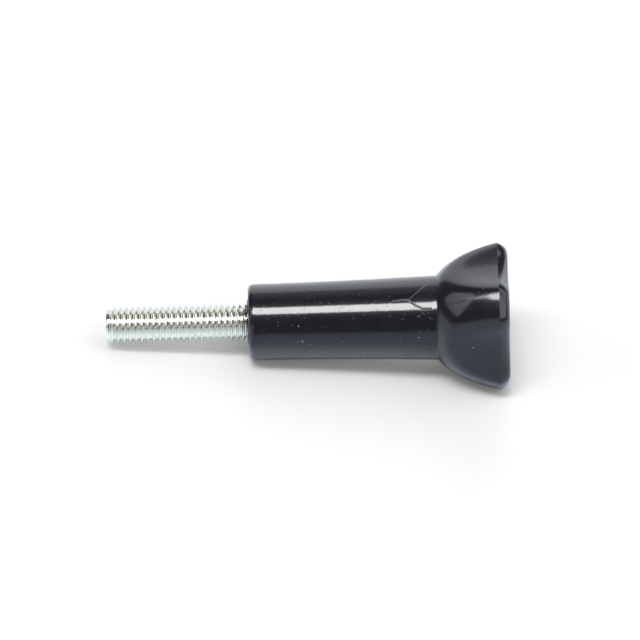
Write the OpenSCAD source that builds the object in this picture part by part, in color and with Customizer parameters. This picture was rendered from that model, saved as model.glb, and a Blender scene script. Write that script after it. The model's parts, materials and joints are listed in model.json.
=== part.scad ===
// Long thumb screw: a steel screw whose hexagon head is moulded into a plastic knob.
// The knob is a slender barrel that flares into a bell with finger scallops.
//
// Sizes are in millimetres. The screw's axis runs from its tip, through the origin, to the head of
// the knob. The origin is the centre of the ring's face, where the thread leaves the knob.
// Both pieces are turned by the angle at which the thumb screw lies on a flat surface, where it
// rests on the barrel's edge and on two of its lobes.

/* [Thread] */
// Outside diameter of the thread, a little under its nominal 5 mm
thread_d = 4.9; // [4.6:0.02:5.5]
// Length of thread that stands out of the knob
thread_len = 19; // [8:0.5:30]
// Diameter of the flat end of the tip
tip_d = 3.9; // [3:0.1:4.2]
// Length of the lead-in cone at the tip
lead_len = 0.85; // [0.3:0.05:2]
// How far the thread runs on inside the ring
run_in = 0.1; // [0.05:0.05:0.15]

/* [Insert] */
// Diameter of the plain shank inside the knob
shank_d = 4.48; // [3.6:0.02:4.5]
// Length of the shank, from the face of the ring to the hexagon head
shank_len = 26; // [20:0.5:29]
// Width of the hexagon head across its flats
hex_w = 8; // [6:0.1:8.5]
// Thickness of the hexagon head
hex_h = 3.5; // [2:0.1:4]
// Gap that the moulding leaves all round the insert
insert_gap = 0.02; // [0.01:0.01:0.1]

/* [Barrel] */
// Diameter at the thread end
barrel_d = 10.2; // [8:0.1:11]
// Diameter where the head starts
barrel_top_d = 11.3; // [10:0.1:13]
// How the barrel widens towards the head: 1 is a plain cone, and a higher power sets in later
flare_power = 1.6; // [1:0.1:3]
// Length from the face of the ring to the head
barrel_len = 25.3; // [20:0.1:32]
// Radius of the rounded edge at the thread end
barrel_edge_r = 0.6; // [0.2:0.05:1]
// Diameter of the raised ring round the thread
ring_d = 6.1; // [5.6:0.1:7]
// Height of the ring above the barrel's end face
ring_h = 0.15; // [0.05:0.05:0.5]

/* [Head] */
// Number of lobes
lobes = 4; // [3:1:5]
// Diameter over the lobes, where they are widest
lobe_d = 19.7; // [17:0.05:24]
// Length of the bell, from the barrel to the sharp line round the lobes
bell_len = 8.4; // [6:0.1:12]
// Angle between the axis and a lobe's back, where it leaves the barrel
bell_start_angle = 51; // [40:1:65]
// Angle between the axis and a lobe's back, at the sharp line
bell_end_angle = 12.5; // [5:0.5:16]
// Depth of each scallop at the sharp line
scallop_depth = 2; // [1.4:0.05:2.8]
// Radius of the hollow of each scallop
scallop_r = 16; // [12:0.5:30]
// Angle between the axis and the floor of a scallop
scallop_angle = 5.5; // [0:0.5:9]
// Roundness of a scallop's edge: hollow and bell blend where their radii differ by less than this
scallop_blend = 1; // [0.3:0.05:1.5]
// Length of the rounded rim between the sharp line and the end face
rim_len = 1.12; // [0.6:0.02:2]
// How far the rim draws in over that length
rim_drop = 1.6; // [0.8:0.05:2.4]
// Angle by which the rim already leans inwards at the sharp line
rim_lean = 20; // [0:1:30]

/* [Smoothness] */
// Straight pieces in one lobe's outline
steps_per_lobe = 24; // [16:4:32]
// Rings of facets along the bell
bell_rings = 18; // [8:1:24]
// Rings of facets on the rounding at the end
rim_rings = 5; // [3:1:8]

/* [Hidden] */

$fn = 96;
// How far a cutting shape passes the face that it cuts
through = 1;
// How far the barrel runs on inside the head
barrel_root = 1;
// Step from the barrel up to the head
head_step = 0.05;
// Straight pieces in the barrel's flare and in its rounded edge
flare_steps = 12;
edge_steps = 6;
// Angle of the chamfer on the hexagon's corners
hex_chamfer_angle = 30;

head_base_r = barrel_top_d / 2 + head_step;
lobe_r = lobe_d / 2;
crease_x = barrel_len + bell_len;
half_sector = 180 / lobes;

// A lobe's back is a quadratic Bezier curve. Its handle is where the tangents at its two ends cross.
handle_x = (lobe_r - head_base_r - bell_len * tan(bell_end_angle))
    / (tan(bell_start_angle) - tan(bell_end_angle));
handle_r = head_base_r + handle_x * tan(bell_start_angle);
bell_bend = bell_len - 2 * handle_x;

// Radius of a lobe's back at a distance from the barrel
function bell_r(x) =
    let (t = (sqrt(pow(handle_x, 2) + bell_bend * x) - handle_x) / bell_bend)
    pow(1 - t, 2) * head_base_r + 2 * t * (1 - t) * handle_r + pow(t, 2) * lobe_r;

// Radius of a scallop's hollow, which is a round bar laid along the head, at an angle from its middle.
// Beyond the bar's width there is nothing to cut.
function hollow_r(x, angle) =
    let (
        floor_r = lobe_r - scallop_depth - (bell_len - x) * tan(scallop_angle),
        bar_at = floor_r + scallop_r,
        reach = pow(scallop_r, 2) - pow(bar_at * sin(angle), 2)
    )
    reach > 0 ? bar_at * cos(angle) - sqrt(reach) : bar_at;

// Depth that a scallop takes off, rounded where the hollow comes out through the skin
function blended(cut) =
    cut < -scallop_blend ? 0
    : cut < scallop_blend ? pow(cut + scallop_blend, 2) / (4 * scallop_blend)
    : cut;

function head_r(x, angle) = bell_r(x) - blended(bell_r(x) - hollow_r(x, angle));

// Direction of a point of a ring, from straight down, and its angle from the middle of its scallop
function point_turn(i) = 360 * i / (lobes * steps_per_lobe);
function from_scallop(turn) = abs((turn + half_sector) % (2 * half_sector) - half_sector);

// The floor touches the barrel's rounded edge and, at the sharp line, the two lobes beside a scallop.
edge_x = ring_h + barrel_edge_r;
edge_y = barrel_d / 2 - barrel_edge_r;
rest_y = max([
    for (i = [0 : steps_per_lobe])
        head_r(bell_len, from_scallop(point_turn(i))) * cos(point_turn(i))
]);
rest_run = norm([crease_x - edge_x, rest_y - edge_y]);
lie_angle = atan2(rest_y - edge_y, crease_x - edge_x) - asin(barrel_edge_r / rest_run);

// Each ring of the head is [distance from the barrel, distance at which the bell has its outline,
// how far the ring is drawn in from that outline].
// The rings lie closer together near the barrel, where the bell curves most.
bell_profile = [
    for (i = [0 : bell_rings])
        let (x = bell_len * pow(i / bell_rings, 1.5))
        [x, x, 0]
];
rim_profile = [
    for (i = [1 : rim_rings])
        let (
            t = i / rim_rings,
            drop = 2 * t * (1 - t) * rim_len * tan(rim_lean) + pow(t, 2) * rim_drop
        )
        [bell_len + rim_len * (2 * t - pow(t, 2)), bell_len, drop]
];

function ring_points(ring) = [
    for (i = [0 : lobes * steps_per_lobe - 1])
        let (
            turn = point_turn(i),
            r = head_r(ring[1], from_scallop(turn)) - ring[2]
        )
        [barrel_len + ring[0], r * sin(turn), -r * cos(turn)]
];

// Closed solid through a list of rings that all have the same number of points
module loft(rings) {
    count = len(rings[0]);
    last = len(rings) - 1;
    points = [for (ring = rings) each ring];
    sides = [
        for (k = [0 : last - 1], i = [0 : count - 1])
            let (next = (i + 1) % count)
            [k * count + i, (k + 1) * count + i, (k + 1) * count + next, k * count + next]
    ];
    start_cap = [for (i = [0 : count - 1]) i];
    end_cap = [for (i = [0 : count - 1]) last * count + count - 1 - i];
    polyhedron(points, concat([start_cap, end_cap], sides), convexity = 4);
}

module lie_down() {
    rotate([0, -lie_angle, 0])
        children();
}

// Turns a shape that stands on Z so that it runs along the screw's axis, starting at x
module along_axis(x = 0) {
    translate([x, 0, 0])
        rotate([0, 90, 0])
            children();
}

module barrel() {
    edge = [
        for (i = [0 : edge_steps])
            let (angle = 90 * i / edge_steps)
            [edge_y + barrel_edge_r * sin(angle), edge_x - barrel_edge_r * cos(angle)]
    ];
    flare_len = barrel_len - edge_x;
    flare = [
        for (i = [1 : flare_steps])
            let (share = i / flare_steps, widening = (barrel_top_d - barrel_d) * pow(share, flare_power))
            [(barrel_d + widening) / 2, edge_x + flare_len * share]
    ];
    ring = [[0, 0], [ring_d / 2, 0], [ring_d / 2, ring_h]];
    root = [[barrel_top_d / 2, barrel_len + barrel_root], [0, barrel_len + barrel_root]];
    along_axis()
        rotate_extrude()
            polygon(concat(ring, edge, flare, root));
}

module head() {
    loft([for (ring = concat(bell_profile, rim_profile)) ring_points(ring)]);
}

// Hexagon head with its outer corners chamfered, grown by a gap on every side
module hex_head(gap) {
    hex_r = (hex_w / 2 + gap) / cos(30);
    height = hex_h + 2 * gap;
    chamfer_h = (hex_r - hex_w / 2 - gap) * tan(hex_chamfer_angle);
    along_axis(shank_len - gap)
        intersection() {
            cylinder(h = height, r = hex_r, $fn = 6);
            rotate_extrude()
                polygon([
                    [0, 0],
                    [hex_r, 0],
                    [hex_r, height - chamfer_h],
                    [hex_r - chamfer_h / tan(hex_chamfer_angle), height],
                    [0, height]
                ]);
        }
}

module shank(gap) {
    along_axis()
        cylinder(h = shank_len + gap, d = shank_d + 2 * gap);
}

// Mouth of the knob's hole, where the thread enters it
module mouth() {
    along_axis(-through)
        cylinder(h = through + run_in + insert_gap, d = thread_d + 2 * insert_gap);
}

// The thread's outside: its turns are too fine to be cut here
module thread() {
    along_axis(lead_len - thread_len)
        cylinder(h = thread_len - lead_len + run_in, d = thread_d);
    along_axis(-thread_len)
        cylinder(h = lead_len, d1 = tip_d, d2 = thread_d);
}

module knob() {
    color([0.1, 0.1, 0.11])
        lie_down()
            difference() {
                union() {
                    barrel();
                    head();
                }
                mouth();
                shank(insert_gap);
                hex_head(insert_gap);
            }
}

module threaded_stud() {
    color([0.78, 0.79, 0.76])
        lie_down() {
            thread();
            shank(0);
            hex_head(0);
        }
}

knob();
threaded_stud();
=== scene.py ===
"""Looks of a long thumb screw that lies on a pale table: a moulded knob and the screw in its middle."""

import json
import math
from typing import NamedTuple

import bmesh
import bpy
from mathutils import Matrix, Vector


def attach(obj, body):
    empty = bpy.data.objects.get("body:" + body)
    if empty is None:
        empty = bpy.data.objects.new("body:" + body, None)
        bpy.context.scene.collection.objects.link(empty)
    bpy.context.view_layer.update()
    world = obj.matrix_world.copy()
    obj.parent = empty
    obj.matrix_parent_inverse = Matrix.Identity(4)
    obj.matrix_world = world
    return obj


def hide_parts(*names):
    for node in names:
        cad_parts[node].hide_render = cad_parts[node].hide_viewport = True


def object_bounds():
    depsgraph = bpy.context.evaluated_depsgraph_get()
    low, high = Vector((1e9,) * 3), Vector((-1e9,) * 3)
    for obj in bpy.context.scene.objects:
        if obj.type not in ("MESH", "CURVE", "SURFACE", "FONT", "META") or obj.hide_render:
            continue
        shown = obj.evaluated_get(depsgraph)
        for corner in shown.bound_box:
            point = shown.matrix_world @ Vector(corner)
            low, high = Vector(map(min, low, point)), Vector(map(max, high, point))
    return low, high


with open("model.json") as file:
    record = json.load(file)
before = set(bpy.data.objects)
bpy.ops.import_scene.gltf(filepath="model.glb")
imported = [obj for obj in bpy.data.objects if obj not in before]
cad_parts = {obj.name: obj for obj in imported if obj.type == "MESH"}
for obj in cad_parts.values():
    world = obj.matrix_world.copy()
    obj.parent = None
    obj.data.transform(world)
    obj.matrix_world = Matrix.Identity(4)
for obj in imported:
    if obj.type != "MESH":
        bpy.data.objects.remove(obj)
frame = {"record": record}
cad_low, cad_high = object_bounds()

MM = 0.001

# ---- Sizes, in millimetres along and around the screw's axis, and in degrees ----

# The CAD's ring face is at 0 on the axis, the tip at negative distances and the head at positive ones.
THREAD_LEN = 19.0
PITCH = 0.8
TIP_R = 1.95
LEAD_LEN = 0.85
# Where the thread ends inside the knob's mouth
THREAD_END = 0.08

SHANK_R = 2.24
SHANK_LEN = 26.0
HEX_HALF = 4.0
HEX_H = 3.5
INSERT_GAP = 0.02
MOUTH_DEPTH = 0.12
MOUTH_EDGE_R = 0.015

FACE_X = -0.12
RING_R = 3.05
RING_H = 0.15
RING_EDGE_R = 0.05
RING_FOOT_R = 0.03
BARREL_R = 5.1
BARREL_TOP_R = 5.65
FLARE_POWER = 1.6
BARREL_LEN = 25.3
BARREL_EDGE_R = 0.75

LOBES = 4
LOBE_R = 9.828
BELL_LEN = 8.2
BELL_START_ANGLE = 51.0
BELL_END_ANGLE = 12.5
SCALLOP_DEPTH = 2.0
SCALLOP_R = 16.0
SCALLOP_ANGLE = 5.5
SCALLOP_BLEND = 1.0
RIM_LEN = 1.38
RIM_DROP = 1.6
RIM_LEAN = 20.0
# Lengths of the small rounds where barrel and head meet, and over the sharp line round the lobes
JUNCTION_ROUND = 0.1
CREASE_ROUND = 0.05

# ---- Where the CAD model puts the screw ----

mount = {m["name"]: m for m in frame["record"]["mounts"]}["thread"]
THREAD_R = mount["dims"]["r_mm"]
ORIGIN = Vector(mount["pos_m"])
ALONG = -Vector(mount["axis"])
ACROSS = Vector((0, 1, 0))
UP = ALONG.cross(ACROSS)
LIE_ANGLE = math.atan2(ALONG.z, ALONG.x)


def placed(x, y, z):
    """A point given along, across and above the screw's axis, in millimetres, in the frame."""
    return ORIGIN + (ALONG * x + ACROSS * y + UP * z) * MM


def hexagon_r(half_width, angle):
    """Radius of a hexagon's outline, from half its width across the flats."""
    return half_width / math.cos((angle + math.pi / 6) % (math.pi / 3) - math.pi / 6)


def bend(before, corner, after, steps):
    """Points of a small round over a corner, between a point before and a point after it."""
    points = []
    for k in range(1, steps):
        t = k / steps
        points.append(tuple(
            (1 - t)**2 * a + 2 * t * (1 - t) * b + t**2 * c for a, b, c in zip(before, corner, after)
        ))
    return points


# ---- Knob ----

def barrel_line(start_x, end_x, steps):
    """The barrel's flare as (distance along, radius), from one distance to another."""
    flare_x = RING_H + BARREL_EDGE_R
    line = []
    for k in range(steps + 1):
        x = start_x + (end_x - start_x) * k / steps
        share = (x - flare_x) / (BARREL_LEN - flare_x)
        line.append((x, BARREL_R + (BARREL_TOP_R - BARREL_R) * max(0.0, share)**FLARE_POWER))
    return line


def bell_r(x):
    """Radius of a lobe's back, at a distance from the barrel."""
    start = math.tan(math.radians(BELL_START_ANGLE))
    end = math.tan(math.radians(BELL_END_ANGLE))
    handle_x = (LOBE_R - BARREL_TOP_R - BELL_LEN * end) / (start - end)
    handle_r = BARREL_TOP_R + handle_x * start
    bow = BELL_LEN - 2 * handle_x
    t = (math.sqrt(handle_x**2 + bow * x) - handle_x) / bow
    return (1 - t)**2 * BARREL_TOP_R + 2 * t * (1 - t) * handle_r + t**2 * LOBE_R


def hollow_r(x, angle):
    """Radius of a scallop's hollow, a round bar laid along the head, at an angle from its middle."""
    floor_r = LOBE_R - SCALLOP_DEPTH - (BELL_LEN - x) * math.tan(math.radians(SCALLOP_ANGLE))
    bar_at = floor_r + SCALLOP_R
    reach = SCALLOP_R**2 - (bar_at * math.sin(angle))**2
    return bar_at * math.cos(angle) - math.sqrt(reach) if reach > 0 else bar_at


def head_r(x, angle):
    """Radius of the head's outline. The scallops' edges are rounded."""
    bell = bell_r(x)
    cut = bell - hollow_r(x, angle)
    if cut < -SCALLOP_BLEND:
        cut = 0.0
    elif cut < SCALLOP_BLEND:
        cut = (cut + SCALLOP_BLEND)**2 / (4 * SCALLOP_BLEND)
    return bell - cut


def rim_point(t, crease_r):
    """A point of the rim's section, from the sharp line (0) to the flat end (1)."""
    drop = 2 * t * (1 - t) * RIM_LEN * math.tan(math.radians(RIM_LEAN)) + t**2 * RIM_DROP
    return BARREL_LEN + BELL_LEN + RIM_LEN * (2 * t - t**2), crease_r - drop


def head_line(angle):
    """The head's outside as (distance along, radius), at an angle from the middle of a scallop."""
    bell_steps = 44
    rim_steps = 16
    # the steps lie closer together near the barrel, where the bell curves most
    crowding = 1.3
    before = barrel_line(BARREL_LEN - JUNCTION_ROUND, BARREL_LEN, 1)[0]
    after = (BARREL_LEN + JUNCTION_ROUND, head_r(JUNCTION_ROUND, angle))
    line = bend(before, (BARREL_LEN, BARREL_TOP_R), after, 5)
    for k in range(bell_steps + 1):
        x = JUNCTION_ROUND + (BELL_LEN - CREASE_ROUND - JUNCTION_ROUND) * (k / bell_steps)**crowding
        line.append((BARREL_LEN + x, head_r(x, angle)))
    crease_r = head_r(BELL_LEN, angle)
    first = CREASE_ROUND / RIM_LEN / 2
    line += bend(line[-1], (BARREL_LEN + BELL_LEN, crease_r), rim_point(first, crease_r), 4)
    for k in range(rim_steps + 1):
        line.append(rim_point(first + (1 - first) * k / rim_steps, crease_r))
    return line


def cavity_line():
    """The round parts of the screw's cavity as (distance along, radius), from its head to the mouth."""
    shank_r = SHANK_R + INSERT_GAP
    mouth_r = THREAD_R + INSERT_GAP
    return [
        (SHANK_LEN - INSERT_GAP, shank_r),
        (SHANK_LEN / 2, shank_r),
        (MOUTH_DEPTH, shank_r),
        (MOUTH_DEPTH, mouth_r),
        (FACE_X + MOUTH_EDGE_R, mouth_r),
        (FACE_X, mouth_r + MOUTH_EDGE_R),
    ]


def end_line():
    """The ring's face and edge, the end face and its rounded edge, as (distance along, radius)."""
    ring_steps = 5
    edge_steps = 12
    before = (FACE_X, RING_R - RING_EDGE_R)
    after = (FACE_X + RING_EDGE_R, RING_R)
    line = [before] + bend(before, (FACE_X, RING_R), after, ring_steps) + [after]
    line.append((FACE_X + RING_H - RING_FOOT_R, RING_R))
    line.append((FACE_X + RING_H, RING_R + RING_FOOT_R))
    for k in range(edge_steps + 1):
        angle = math.pi / 2 * k / edge_steps
        line.append((
            FACE_X + RING_H + BARREL_EDGE_R * (1 - math.cos(angle)),
            BARREL_R - BARREL_EDGE_R * (1 - math.sin(angle)),
        ))
    return line


def knob_rings(turns):
    """Rings of (distance along, radius), from the cavity's end out over the barrel to the head's end."""
    barrel_steps = 40
    hex_half = HEX_HALF + INSERT_GAP
    cavity_end = SHANK_LEN + HEX_H + INSERT_GAP
    rings = [[(cavity_end, hex_half * part)] * len(turns) for part in (0.3, 0.7, 1.0)]
    for x in (SHANK_LEN + HEX_H - INSERT_GAP, SHANK_LEN - INSERT_GAP):
        rings.append([(x, hexagon_r(hex_half, turn)) for turn in turns])
    flare_start = FACE_X + RING_H + BARREL_EDGE_R
    barrel = barrel_line(flare_start, BARREL_LEN - JUNCTION_ROUND, barrel_steps)[1:]
    for point in cavity_line() + end_line() + barrel:
        rings.append([point] * len(turns))
    half_sector = math.pi / LOBES
    sides = [head_line(abs((t + half_sector) % (2 * half_sector) - half_sector)) for t in turns]
    rings += zip(*sides)
    rim_end = rings[-1]
    for part in (0.75, 0.5, 0.25):
        rings.append([(x, r * part) for x, r in rim_end])
    return rings


def finished(name, mesh):
    """An object of a bmesh, with its faces turned outwards and smooth."""
    bmesh.ops.recalc_face_normals(mesh, faces=mesh.faces)
    data = bpy.data.meshes.new(name)
    mesh.to_mesh(data)
    mesh.free()
    for polygon in data.polygons:
        polygon.use_smooth = True
    piece = bpy.data.objects.new(name, data)
    bpy.context.scene.collection.objects.link(piece)
    return piece


def make_knob():
    """A closed mesh through the knob's rings, with a point in the middle of each end."""
    count = 384
    sharp_angle = 35
    turns = [2 * math.pi * i / count for i in range(count)]
    rings = knob_rings(turns)
    mesh = bmesh.new()
    rows = []
    for ring in rings:
        rows.append([
            mesh.verts.new(placed(x, r * math.sin(t), -r * math.cos(t))) for (x, r), t in zip(ring, turns)
        ])
    for row, following in zip(rows, rows[1:]):
        for i in range(count):
            j = (i + 1) % count
            mesh.faces.new((row[i], row[j], following[j], following[i]))
    for row, ring, order in ((rows[0], rings[0], -1), (rows[-1], rings[-1], 1)):
        middle = mesh.verts.new(placed(sum(x for x, _ in ring) / count, 0, 0))
        for i in range(count):
            corners = (row[i], row[(i + 1) % count], middle)
            mesh.faces.new(corners[::order])
    piece = finished("knob_moulding", mesh)
    piece.data.set_sharp_from_angle(angle=math.radians(sharp_angle))
    return piece


# ---- Threaded stud ----

def thread_profile():
    """One turn of a rolled M thread, as (share of the pitch, radius), from root to root."""
    height = PITCH * math.sqrt(3) / 2
    depth = 0.625 * height
    root_r = THREAD_R - depth
    crest_half = PITCH / 16
    flank = depth * math.tan(math.radians(30))
    root_half = PITCH / 2 - crest_half - flank
    # how far the root is hollowed, the crest's edges are rounded, and rolling leaves a groove in it
    sag = 0.05
    crest_round = 0.03
    groove = 0.018
    groove_half = 0.02
    points = []
    for k in range(-3, 4):
        x = root_half * k / 3
        points.append((x, root_r - sag * (1 - (x / root_half)**2)))
    points.append((root_half + flank * 0.5, root_r + depth * 0.5))
    points.append((PITCH / 2 - crest_half - crest_round * 0.5, THREAD_R - crest_round))
    points.append((PITCH / 2 - crest_half + crest_round * 0.5, THREAD_R - crest_round * 0.2))
    points.append((PITCH / 2 - groove_half, THREAD_R))
    points.append((PITCH / 2, THREAD_R - groove))
    mirrored = [(PITCH - x, r) for x, r in points if 0 < x < PITCH / 2]
    turn = [p for p in points if p[0] >= 0] + mirrored[::-1]
    return [(x / PITCH, r) for x, r in turn]


def thread_point(s, r):
    """Bends the thread's surface round the lead-in and the flat tip, and ends it inside the knob."""
    tip = -THREAD_LEN
    if s < tip:
        return tip, max(0.0, TIP_R - (tip - s))
    if s > THREAD_END:
        return s, SHANK_R
    lead = TIP_R + (THREAD_R - TIP_R) * min(1.0, (s - tip) / LEAD_LEN)
    return s, min(r, lead)


def roll_thread(mesh, count):
    """Adds a true helix, which starts in the middle of the tip and ends inside the knob."""
    profile = thread_profile()
    rows_per_turn = len(profile)
    first_turn = math.floor((-THREAD_LEN - TIP_R) / PITCH) - 2
    last_turn = 3
    grid = []
    for turn in range(first_turn, last_turn):
        for share, r in profile:
            row = []
            for i in range(count):
                s = (turn + share + i / count) * PITCH
                x, radius = thread_point(s, r)
                angle = 2 * math.pi * i / count
                row.append(mesh.verts.new(placed(x, radius * math.sin(angle), radius * math.cos(angle))))
            grid.append(row)
    for k in range(len(grid) - 1):
        for i in range(count - 1):
            mesh.faces.new((grid[k][i], grid[k][i + 1], grid[k + 1][i + 1], grid[k + 1][i]))
        # where a round closes, it goes on as the start of the next turn
        after = k + rows_per_turn
        if after + 1 < len(grid):
            mesh.faces.new((grid[k][-1], grid[after][0], grid[after + 1][0], grid[k + 1][-1]))
    # the turns that lie beyond the tip are all at its middle: they become one point
    same = 1e-7
    bmesh.ops.remove_doubles(mesh, verts=mesh.verts, dist=same)
    bmesh.ops.dissolve_degenerate(mesh, edges=mesh.edges, dist=same)


def draw_out_insert(mesh):
    """Cuts the thread straight inside the knob, and draws out the shank and the hexagon head there."""
    cut_x = 0.5
    geometry = mesh.verts[:] + mesh.edges[:] + mesh.faces[:]
    bmesh.ops.bisect_plane(
        mesh, geom=geometry, plane_co=placed(cut_x, 0, 0), plane_no=ALONG, clear_outer=True, dist=1e-7
    )
    rim = [e for e in mesh.edges if e.is_boundary]
    chamfer = (HEX_HALF / math.cos(math.pi / 6) - HEX_HALF) * math.tan(math.radians(30))
    stations = [
        (SHANK_LEN, lambda angle: SHANK_R),
        (SHANK_LEN, lambda angle: hexagon_r(HEX_HALF, angle)),
        (SHANK_LEN + HEX_H - chamfer, lambda angle: hexagon_r(HEX_HALF, angle)),
        (SHANK_LEN + HEX_H, lambda angle: HEX_HALF),
    ]
    for x, radius_at in stations:
        drawn = bmesh.ops.extrude_edge_only(mesh, edges=rim)["geom"]
        for vertex in (g for g in drawn if isinstance(g, bmesh.types.BMVert)):
            offset = vertex.co - ORIGIN
            angle = math.atan2(offset.dot(ACROSS), offset.dot(UP))
            r = radius_at(angle)
            vertex.co = placed(x, r * math.sin(angle), r * math.cos(angle))
        rim = [g for g in drawn if isinstance(g, bmesh.types.BMEdge) and g.is_boundary]
    bmesh.ops.holes_fill(mesh, edges=rim)


def make_stud():
    """The screw: its thread stands out of the knob, and its shank and hexagon head lie inside."""
    count = 144
    sharp_angle = 40
    mesh = bmesh.new()
    roll_thread(mesh, count)
    draw_out_insert(mesh)
    piece = finished("threaded_screw", mesh)
    piece.data.set_sharp_from_angle(angle=math.radians(sharp_angle))
    return piece


# ---- Materials ----

class Nodes:
    """Short ways to add shader nodes to one tree."""

    def __init__(self, tree):
        self.tree = tree
        self.tree.nodes.clear()

    def add(self, kind, **settings):
        node = self.tree.nodes.new(kind)
        for name, value in settings.items():
            setattr(node, name, value)
        return node

    def feed(self, socket, value):
        """Links a socket to another one, or gives it a plain value."""
        if isinstance(value, bpy.types.NodeSocket):
            self.tree.links.new(value, socket)
        else:
            socket.default_value = value

    def math(self, operation, *values, clamp=False):
        node = self.add("ShaderNodeMath", operation=operation, use_clamp=clamp)
        for socket, value in zip(node.inputs, values):
            self.feed(socket, value)
        return node.outputs[0]

    def vector(self, operation, *values):
        node = self.add("ShaderNodeVectorMath", operation=operation)
        for socket, value in zip(node.inputs, values):
            self.feed(socket, value)
        return node.outputs["Value" if operation in ("DOT_PRODUCT", "DISTANCE") else "Vector"]

    def separate(self, vector):
        node = self.add("ShaderNodeSeparateXYZ")
        self.feed(node.inputs[0], vector)
        return node.outputs

    def remap(self, value, low, high, to_low, to_high, kind="SMOOTHSTEP"):
        node = self.add("ShaderNodeMapRange", interpolation_type=kind)
        for socket, number in zip(node.inputs, (value, low, high, to_low, to_high)):
            self.feed(socket, number)
        return node.outputs[0]

    def noise(self, place, scale, detail=2.0, roughness=0.5):
        node = self.add("ShaderNodeTexNoise")
        self.feed(node.inputs["Vector"], place)
        self.feed(node.inputs["Scale"], scale)
        self.feed(node.inputs["Detail"], detail)
        self.feed(node.inputs["Roughness"], roughness)
        return node.outputs["Fac"]

    def mix(self, share, a, b):
        """A mix of two colours. The node's sockets for colours are its seventh, eighth and third."""
        node = self.add("ShaderNodeMix", data_type="RGBA")
        self.feed(node.inputs[0], share)
        self.feed(node.inputs[6], a)
        self.feed(node.inputs[7], b)
        return node.outputs[2]

    def bump(self, height):
        """Normals from a height in millimetres."""
        node = self.add("ShaderNodeBump")
        self.feed(node.inputs["Height"], height)
        self.feed(node.inputs["Distance"], MM)
        self.feed(node.inputs["Strength"], 1.0)
        return node.outputs[0]

    def near_points(self, place, points):
        """Distance to the nearest of some points."""
        nearest = None
        for point in points:
            distance = self.vector("DISTANCE", place, point)
            nearest = distance if nearest is None else self.math("MINIMUM", nearest, distance)
        return nearest

    def near_line(self, place, points):
        """Distance to a line through some points."""
        nearest = None
        for start, end in zip(points, points[1:]):
            a, run = Vector(start), Vector(end) - Vector(start)
            offset = self.vector("SUBTRACT", place, tuple(a))
            share = self.vector("DOT_PRODUCT", offset, tuple(run / run.length_squared))
            share = self.math("ADD", share, 0.0, clamp=True)
            along = self.add("ShaderNodeVectorMath", operation="SCALE")
            self.feed(along.inputs[0], tuple(run))
            self.feed(along.inputs["Scale"], share)
            distance = self.vector("DISTANCE", offset, along.outputs[0])
            nearest = distance if nearest is None else self.math("MINIMUM", nearest, distance)
        return nearest

    def axis_place(self):
        """Position in millimetres along, across and above the screw's axis."""
        coordinates = self.add("ShaderNodeTexCoord")
        turned = self.add("ShaderNodeVectorRotate", rotation_type="Y_AXIS")
        self.feed(turned.inputs["Vector"], coordinates.outputs["Object"])
        self.feed(turned.inputs["Angle"], LIE_ANGLE)
        return self.vector("MULTIPLY", turned.outputs[0], (1 / MM,) * 3)

    def surface(self, shader):
        """Makes a shader the material's surface."""
        output = self.add("ShaderNodeOutputMaterial")
        self.feed(output.inputs["Surface"], shader.outputs[0])


# Radius at which the barrel's skin is rolled out flat, and the end of the marks on it, before the head
UNROLL_R = 5.2
MARKS_END = BARREL_LEN - 0.2

# Marks on the barrel, as (mm along, degrees from the top towards the viewer)
HAIRLINE = ((24.06, -0.8), (22.89, 13.0), (21.61, 25.6))
GOUGE = (
    (19.35, 29.2), (19.95, 28.6), (20.89, 27.4), (21.32, 27.8),
    (21.73, 31.0), (22.55, 36.6), (23.38, 41.0), (24.46, 41.4),
)
DARK_LINE = ((22.79, 71.0), (24.10, 89.7))
FAINT_LINES = (((6.30, 87.5), (6.75, 85.2), (7.25, 85.9)), ((7.9, 89.0), (8.5, 93.5)))
SPECKS = (
    (18.95, 49.8), (20.57, 54.7), (20.96, 47.3), (20.24, 86.4), (24.27, 53.6), (24.06, 69.9), (22.62, 50.9),
    (22.80, 51.5), (22.93, 50.0), (23.36, 47.2), (24.11, 47.1), (7.24, 85.7), (1.45, 104.2), (14.1, 51.5),
    (12.6, 86.0), (17.0, 28.0), (10.9, 27.5), (9.7, 26.5), (6.6, 29.6),
)
BIG_SPECKS = ((7.24, 84.6), (7.22, 86.6), (6.76, 61.1), (22.77, 81.5))
# A painted reflection on the head, a dark line sunk a little, and a speck there, as (along, across, above)
# the axis in mm
HEAD_REFLECTION_LINE = ((26.42, -4.33, 5.21), (27.31, -4.74, 5.72), (28.23, -5.06, 6.18), (30.09, -5.43, 6.96))
HEAD_SPECK = (29.96, -7.49, 0.45)

# How each kind of mark looks: how much of its colour it takes, the colour, and its height in mm
MARK_LOOKS = {
    "dust": (0.25, (0.10, 0.11, 0.12, 1), 0.012),
    "hairline": (0.5, (0.16, 0.17, 0.19, 1), 0.006),
    "faint_lines": (0.5, (0.12, 0.125, 0.13, 1), 0.0),
    # the burr's lighter colour is a painted highlight, its height is real
    "burr_and_highlight": (0.35, (0.20, 0.21, 0.23, 1), 0.02),
    # dark_lines: a real scratch on the barrel, and the head's dark line, which is a painted reflection
    "dark_lines": (0.7, (0.001, 0.001, 0.001, 1), -0.035),
    "specks": (1.0, (0.26, 0.30, 0.28, 1), 0.04),
    "gouge": (0.0, (0, 0, 0, 1), -0.035),
}


def on_skin(points, turned=0.0):
    """Points given as (mm along, degrees round), on the barrel's skin rolled out flat."""
    return [(x, math.radians(angle + turned) * UNROLL_R, 0.0) for x, angle in points]


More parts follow.
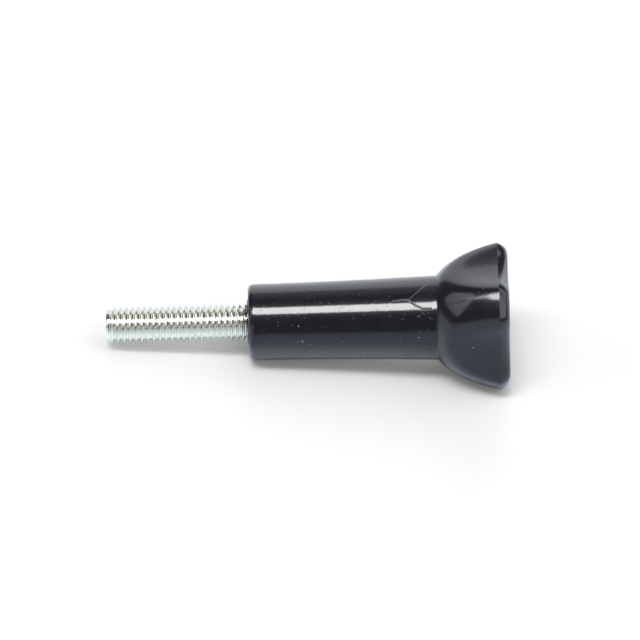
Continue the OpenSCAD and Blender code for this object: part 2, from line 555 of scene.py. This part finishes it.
def plastic_marks(n, place):
    """Scratches and specks as masks by kind, each 1 on the mark and 0 off it. The burr's mask also carries a
    painted highlight, and the head's dark line is a painted reflection.
    """
    x, y, z = n.separate(place)
    turn = n.math("ARCTAN2", n.math("MULTIPLY", y, -1.0), z)
    skin = n.add("ShaderNodeCombineXYZ")
    n.feed(skin.inputs[0], x)
    n.feed(skin.inputs[1], n.math("MULTIPLY", turn, UNROLL_R))
    skin = skin.outputs[0]
    on_barrel = n.math("LESS_THAN", x, MARKS_END)

    def mask(distance, half_width, soft=0.5):
        faded = n.remap(distance, half_width * (1 - soft), half_width * (1 + soft), 1.0, 0.0)
        return n.math("MULTIPLY", faded, on_barrel)

    def line(points, half_width, turned=0.0, soft=0.5):
        return mask(n.near_line(skin, on_skin(points, turned)), half_width, soft)

    def specks(points, half_width):
        return mask(n.near_points(skin, on_skin(points)), half_width)

    # the plastic that the gouge pushed up stands along its upper side, and is painted lighter there as a
    # highlight
    burr_turn = -1.7
    # the head's dark line is a painted reflection, darkened and sunk a little
    head_line = n.remap(n.near_line(place, HEAD_REFLECTION_LINE), 0.04, 0.10, 1.0, 0.0)
    head_speck = n.remap(n.near_points(place, (HEAD_SPECK,)), 0.06, 0.12, 1.0, 0.0)
    all_specks = n.math("MAXIMUM", specks(SPECKS, 0.045), specks(BIG_SPECKS, 0.07))
    return {
        "gouge": line(GOUGE, 0.065, soft=1.0),
        "burr_and_highlight": line(GOUGE, 0.05, turned=burr_turn),
        "hairline": line(HAIRLINE, 0.055),
        "faint_lines": n.math("MAXIMUM", *(line(points, 0.045) for points in FAINT_LINES)),
        "dark_lines": n.math("MAXIMUM", line(DARK_LINE, 0.065), head_line),
        "specks": n.math("MAXIMUM", all_specks, head_speck),
        "dust": plastic_dust(n, place),
    }


def plastic_dust(n, place):
    """Fine dust, thinly and unevenly spread: a grain in less than half of the cells, each of its own size."""
    bare_cells = 0.56
    cells = n.add("ShaderNodeTexVoronoi", feature="F1", voronoi_dimensions="3D")
    n.feed(cells.inputs["Vector"], place)
    n.feed(cells.inputs["Scale"], 2.2)
    chance = n.add("ShaderNodeSeparateColor")
    n.feed(chance.inputs[0], cells.outputs["Color"])
    chance = chance.outputs[0]
    size = n.remap(chance, 0.55, 1.0, 0.08, 0.22, "LINEAR")
    grain = n.remap(n.math("SUBTRACT", cells.outputs["Distance"], size), -0.06, 0.02, 1.0, 0.0)
    return n.math("MULTIPLY", grain, n.math("GREATER_THAN", chance, bare_cells))


def black_plastic():
    """Glossy moulded plastic: a clear sharp gloss over a soft one, with fine grain, dust and scratches, a
    painted highlight along the gouge's burr and a painted reflection line on the head.
    """
    material = bpy.data.materials.new("black_moulded_plastic")
    material.use_nodes = True
    n = Nodes(material.node_tree)
    place = n.axis_place()
    shader = n.add("ShaderNodeBsdfPrincipled")
    n.surface(shader)
    marks = plastic_marks(n, place)

    cloud = n.noise(place, 0.35, 3.0)
    colour = n.mix(cloud, (0.0054, 0.0060, 0.0096, 1), (0.0072, 0.0079, 0.0122, 1))
    grain = n.math("MULTIPLY", n.noise(place, 3.6, 3.0, 0.6), 0.0038)
    waves = n.math("MULTIPLY", n.noise(place, 0.5, 1.0), 0.004)
    height = n.math("ADD", grain, waves)
    for kind, (share, tint, raised) in MARK_LOOKS.items():
        if share:
            colour = n.mix(n.math("MULTIPLY", marks[kind], share), colour, tint)
        if raised:
            height = n.math("MULTIPLY_ADD", marks[kind], raised, height)
    n.feed(shader.inputs["Base Color"], colour)
    n.feed(shader.inputs["Roughness"], n.remap(cloud, 0.3, 0.7, 0.26, 0.34))
    n.feed(shader.inputs["IOR"], 1.22)
    n.feed(shader.inputs["Coat Weight"], 1.0)
    n.feed(shader.inputs["Coat IOR"], 1.51)
    n.feed(shader.inputs["Coat Roughness"], 0.10)
    normals = n.bump(height)
    n.feed(shader.inputs["Normal"], normals)
    n.feed(shader.inputs["Coat Normal"], normals)
    return material


def zinc_plating():
    """Bright zinc on steel, slightly green-grey, with a clouded gloss and a fine grain."""
    material = bpy.data.materials.new("zinc_plating")
    material.use_nodes = True
    n = Nodes(material.node_tree)
    place = n.axis_place()
    shader = n.add("ShaderNodeBsdfPrincipled")
    n.surface(shader)
    n.feed(shader.inputs["Metallic"], 1.0)
    cloud = n.noise(place, 1.2, 3.0)
    n.feed(shader.inputs["Base Color"], n.mix(cloud, (0.76, 0.775, 0.715, 1), (0.86, 0.87, 0.805, 1)))
    n.feed(shader.inputs["Roughness"], n.remap(cloud, 0.3, 0.7, 0.12, 0.21))
    grain = n.math("MULTIPLY", n.noise(place, 5.0, 3.0, 0.6), 0.010)
    n.feed(shader.inputs["Normal"], n.bump(grain))
    return material


# ---- Camera ----

# The camera's direction from the object, its roll and its angle of view, in degrees
VIEW_AZIMUTH = -3.74
VIEW_ELEVATION = 36.49
VIEW_ROLL = 5.32
VIEW_ANGLE = 5.4
# Width of what the camera sees, in mm, and its middle, in mm along, across and above the axis
FIELD = 85.74
LOOK_AT = (9.6, 0.0, 0.08)


def back_vector():
    """Direction from the object to the camera."""
    a, e = math.radians(VIEW_AZIMUTH), math.radians(VIEW_ELEVATION)
    return Vector((math.sin(a) * math.cos(e), -math.cos(a) * math.cos(e), math.sin(e)))


def make_camera():
    data = bpy.data.cameras.new("camera")
    camera = bpy.data.objects.new("camera", data)
    bpy.context.scene.collection.objects.link(camera)
    half = math.radians(VIEW_ANGLE / 2)
    data.sensor_width = 36
    data.lens = data.sensor_width / 2 / math.tan(half)
    data.clip_start, data.clip_end = 0.05, 20
    back = back_vector()
    distance = FIELD / 2 * MM / math.tan(half)
    upright = (-back).to_track_quat("-Z", "Y").to_matrix().to_4x4()
    camera.matrix_world = (
        Matrix.Translation(placed(*LOOK_AT) + back * distance)
        @ upright
        @ Matrix.Rotation(math.radians(VIEW_ROLL), 4, "Z")
    )
    bpy.context.scene.camera = camera


# ---- Table ----

def glow_near_object(n):
    """Strength of the glow that the object mirrors: a faint one, and more on both sides beside the object."""
    faint = 0.05
    strongest = 0.34
    x, y, _ = n.separate(n.add("ShaderNodeTexCoord").outputs["Object"])
    # the glow starts further out beside the thread, and ends before the head
    aside = n.math("ADD", n.math("ABSOLUTE", y), n.remap(x, -2 * MM, 1 * MM, 4 * MM, 0.0))
    inner = n.remap(aside, 3 * MM, 7 * MM, 0.0, strongest)
    outer = n.remap(aside, 8 * MM, 15 * MM, 1.0, 0.0)
    near = n.math("MULTIPLY", inner, outer)
    near = n.math("MULTIPLY", near, n.remap(x, 18 * MM, 28 * MM, 1.0, 0.0))
    return n.math("ADD", near, faint)


def white_card():
    """Pale card with a faint gloss. A little glow of its own, which only the camera and mirror
    reflections see, keeps the shadow pale. The light that it throws on the object is a little blue."""
    seen_glow = 0.11
    material = bpy.data.materials.new("white_card")
    material.use_nodes = True
    n = Nodes(material.node_tree)
    path = n.add("ShaderNodeLightPath")
    is_camera = path.outputs["Is Camera Ray"]
    card = n.add("ShaderNodeBsdfDiffuse")
    n.feed(card.inputs["Color"], n.mix(is_camera, (0.52, 0.58, 0.67, 1), (0.665, 0.66, 0.65, 1)))
    glow = n.add("ShaderNodeEmission")
    n.feed(glow.inputs["Color"], (1.0, 1.0, 0.97, 1))
    mirrored = n.math("MULTIPLY", glow_near_object(n), path.outputs["Is Glossy Ray"])
    n.feed(glow.inputs["Strength"], n.math("MULTIPLY_ADD", is_camera, seen_glow, mirrored))
    both = n.add("ShaderNodeAddShader")
    n.feed(both.inputs[0], card.outputs[0])
    n.feed(both.inputs[1], glow.outputs[0])
    gloss = n.add("ShaderNodeBsdfGlossy")
    n.feed(gloss.inputs["Color"], (1, 1, 1, 1))
    n.feed(gloss.inputs["Roughness"], 0.3)
    fresnel = n.add("ShaderNodeFresnel")
    n.feed(fresnel.inputs["IOR"], 1.45)
    coated = n.add("ShaderNodeMixShader")
    n.feed(coated.inputs[0], fresnel.outputs[0])
    n.feed(coated.inputs[1], both.outputs[0])
    n.feed(coated.inputs[2], gloss.outputs[0])
    n.surface(coated)
    return material


def make_table():
    """A wide flat table at the height on which the object lies."""
    half = 3.0
    corners = [(x * half, y * half, cad_low.z) for x, y in ((-1, -1), (1, -1), (1, 1), (-1, 1))]
    data = bpy.data.meshes.new("table")
    data.from_pydata(corners, [], [(0, 1, 2, 3)])
    data.materials.append(white_card())
    table = bpy.data.objects.new("table", data)
    bpy.context.scene.collection.objects.link(table)


# ---- Light ----

# Directions of lights are given in degrees, as the tilt along the screw, towards its head, and the turn
# about the screw, from the camera's side up and over to the back.

# The strip's distance in metres, its radiance, and the turns and tilts between which it lies. Its turn
# changes by the slant for each degree of tilt.
STRIP_WAY = 2.0
STRIP_RADIANCE = 15.5
STRIP_TURN = (23.6, 44.0)
STRIP_TILT = (-13.0, 4.0)
STRIP_SLANT = -0.45

ROOM = 0.09


class Panel(NamedTuple):
    """A soft white panel in the room."""

    # corners as (tilt, turn), anticlockwise
    corners: tuple
    # half the width of its soft edge, in degrees
    soft: float
    # strength at the first corner, and how much it grows for each degree of tilt and of turn
    level: float
    by_tilt: float = 0.0
    by_turn: float = 0.0


PANELS = (
    # behind the table, from the horizon up, and a faint wash over it
    Panel(((-40, 128), (-28, 107), (-12, 101), (12, 99), (12, 165), (-44, 165)), 4, 0.83, 0.009, -0.0095),
    Panel(((-18, 70), (12, 70), (12, 100), (-18, 102)), 4, 0.06, 0, 0.016),
    # on the right: in front, high up and behind
    Panel(((28, -6), (80, -6), (80, 41), (28, 41)), 3, 1.85),
    Panel(((12, -28), (28, -28), (28, 48), (12, 48)), 3, 1.3),
    Panel(((12, 45), (80, 45), (80, 92), (12, 97)), 4, 1.5),
    Panel(((14, 130), (80, 130), (80, 170), (14, 170)), 6, 1.4),
    # on the left, high up
    Panel(((-60, 0), (-43, 29), (-37, 43), (-67, 92), (-72, 60), (-70, 30), (-66, 14)), 2, 1.2, 0.038),
    # the left end of the strip, and a dimmer narrow streak beyond it
    Panel(((-28, 28.8), (-14.5, 24), (-14.5, 37.5), (-28, 38)), 1.5, 14, 0.1),
    Panel(((-46, 35), (-27, 31.8), (-27, 36.8), (-46, 40)), 2, 1.6, 0.36),
    # in front, on the left
    Panel(((-75, -40), (-12, -45), (-12, -2), (-30, -4), (-45, -10), (-73, -28)), 4, 0.5, 0.004),
)


def studio_axes():
    """Directions that the lights are laid out by: along the screw, to the camera's side, and up over it."""
    back = back_vector()
    back = (back - ALONG * back.dot(ALONG)).normalized()
    over = back.cross(ALONG)
    return ALONG, back, over if over.z > 0 else -over


def make_strip():
    """A long soft box, nearly overhead."""
    along, back, over = studio_axes()
    turn = math.radians(sum(STRIP_TURN) / 2)
    tilt = math.radians(sum(STRIP_TILT) / 2)
    slant = math.atan(STRIP_SLANT)
    length = math.radians(STRIP_TILT[1] - STRIP_TILT[0]) / math.cos(slant)
    width = math.radians(STRIP_TURN[1] - STRIP_TURN[0]) * math.cos(slant)
    data = bpy.data.lights.new("strip", "AREA")
    data.shape = "RECTANGLE"
    data.size = 2 * STRIP_WAY * math.tan(length / 2)
    data.size_y = 2 * STRIP_WAY * math.tan(width / 2)
    data.energy = STRIP_RADIANCE * math.pi * data.size * data.size_y
    lamp = bpy.data.objects.new("strip", data)
    bpy.context.scene.collection.objects.link(lamp)
    middle = back * math.cos(turn) + over * math.sin(turn)
    z_axis = middle * math.cos(tilt) + along * math.sin(tilt)
    x_axis = (along - z_axis * along.dot(z_axis)).normalized()
    facing = Matrix((x_axis, z_axis.cross(x_axis), z_axis)).transposed().to_4x4()
    facing = facing @ Matrix.Rotation(slant, 4, "Z")
    lamp.matrix_world = Matrix.Translation(placed(LOOK_AT[0], 0, 0) + z_axis * STRIP_WAY) @ facing


def panel_strength(n, panel, tilt, turn):
    """Strength of a panel in a direction. Each edge fades it from the inside out."""
    corners = panel.corners
    start = panel.level - panel.by_tilt * corners[0][0] - panel.by_turn * corners[0][1]
    strength = n.math("MULTIPLY_ADD", turn, panel.by_turn, start)
    strength = n.math("MULTIPLY_ADD", tilt, panel.by_tilt, strength)
    for (tilt_0, turn_0), (tilt_1, turn_1) in zip(corners, corners[1:] + corners[:1]):
        # how far inside this edge a direction lies, in degrees
        length = math.hypot(tilt_1 - tilt_0, turn_1 - turn_0)
        by_tilt = -(turn_1 - turn_0) / length
        by_turn = (tilt_1 - tilt_0) / length
        inside = n.math("MULTIPLY_ADD", tilt, by_tilt, -by_tilt * tilt_0 - by_turn * turn_0)
        inside = n.math("MULTIPLY_ADD", turn, by_turn, inside)
        strength = n.math("MULTIPLY", strength, n.remap(inside, -panel.soft, panel.soft, 0.0, 1.0))
    return strength


def make_world():
    """A dim room with soft white panels. The camera sees plain white."""
    world = bpy.data.worlds.new("studio")
    bpy.context.scene.world = world
    world.use_nodes = True
    n = Nodes(world.node_tree)
    way = n.add("ShaderNodeTexCoord").outputs["Generated"]
    along, back, over = (n.vector("DOT_PRODUCT", way, tuple(axis)) for axis in studio_axes())
    degrees = 180 / math.pi
    tilt = n.math("MULTIPLY", n.math("ARCSINE", along), degrees)
    turn = n.math("MULTIPLY", n.math("ARCTAN2", over, back), degrees)
    strength = ROOM
    for panel in PANELS:
        strength = n.math("ADD", strength, panel_strength(n, panel, tilt, turn))
    lit = n.add("ShaderNodeBackground")
    n.feed(lit.inputs["Color"], (0.97, 0.985, 1.0, 1))
    n.feed(lit.inputs["Strength"], strength)
    white = n.add("ShaderNodeBackground")
    n.feed(white.inputs["Color"], (1, 1, 1, 1))
    n.feed(white.inputs["Strength"], 1.0)
    choose = n.add("ShaderNodeMixShader")
    n.feed(choose.inputs[0], n.add("ShaderNodeLightPath").outputs["Is Camera Ray"])
    n.feed(choose.inputs[1], lit.outputs[0])
    n.feed(choose.inputs[2], white.outputs[0])
    output = n.add("ShaderNodeOutputWorld")
    n.feed(output.inputs["Surface"], choose.outputs[0])


def main():
    knob = make_knob()
    knob.data.materials.append(black_plastic())
    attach(knob, "root")
    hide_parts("knob")
    stud = make_stud()
    stud.data.materials.append(zinc_plating())
    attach(stud, "root")
    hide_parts("threaded_stud")
    make_table()
    make_strip()
    make_world()
    make_camera()
    bpy.context.scene.view_settings.view_transform = "Standard"


main()
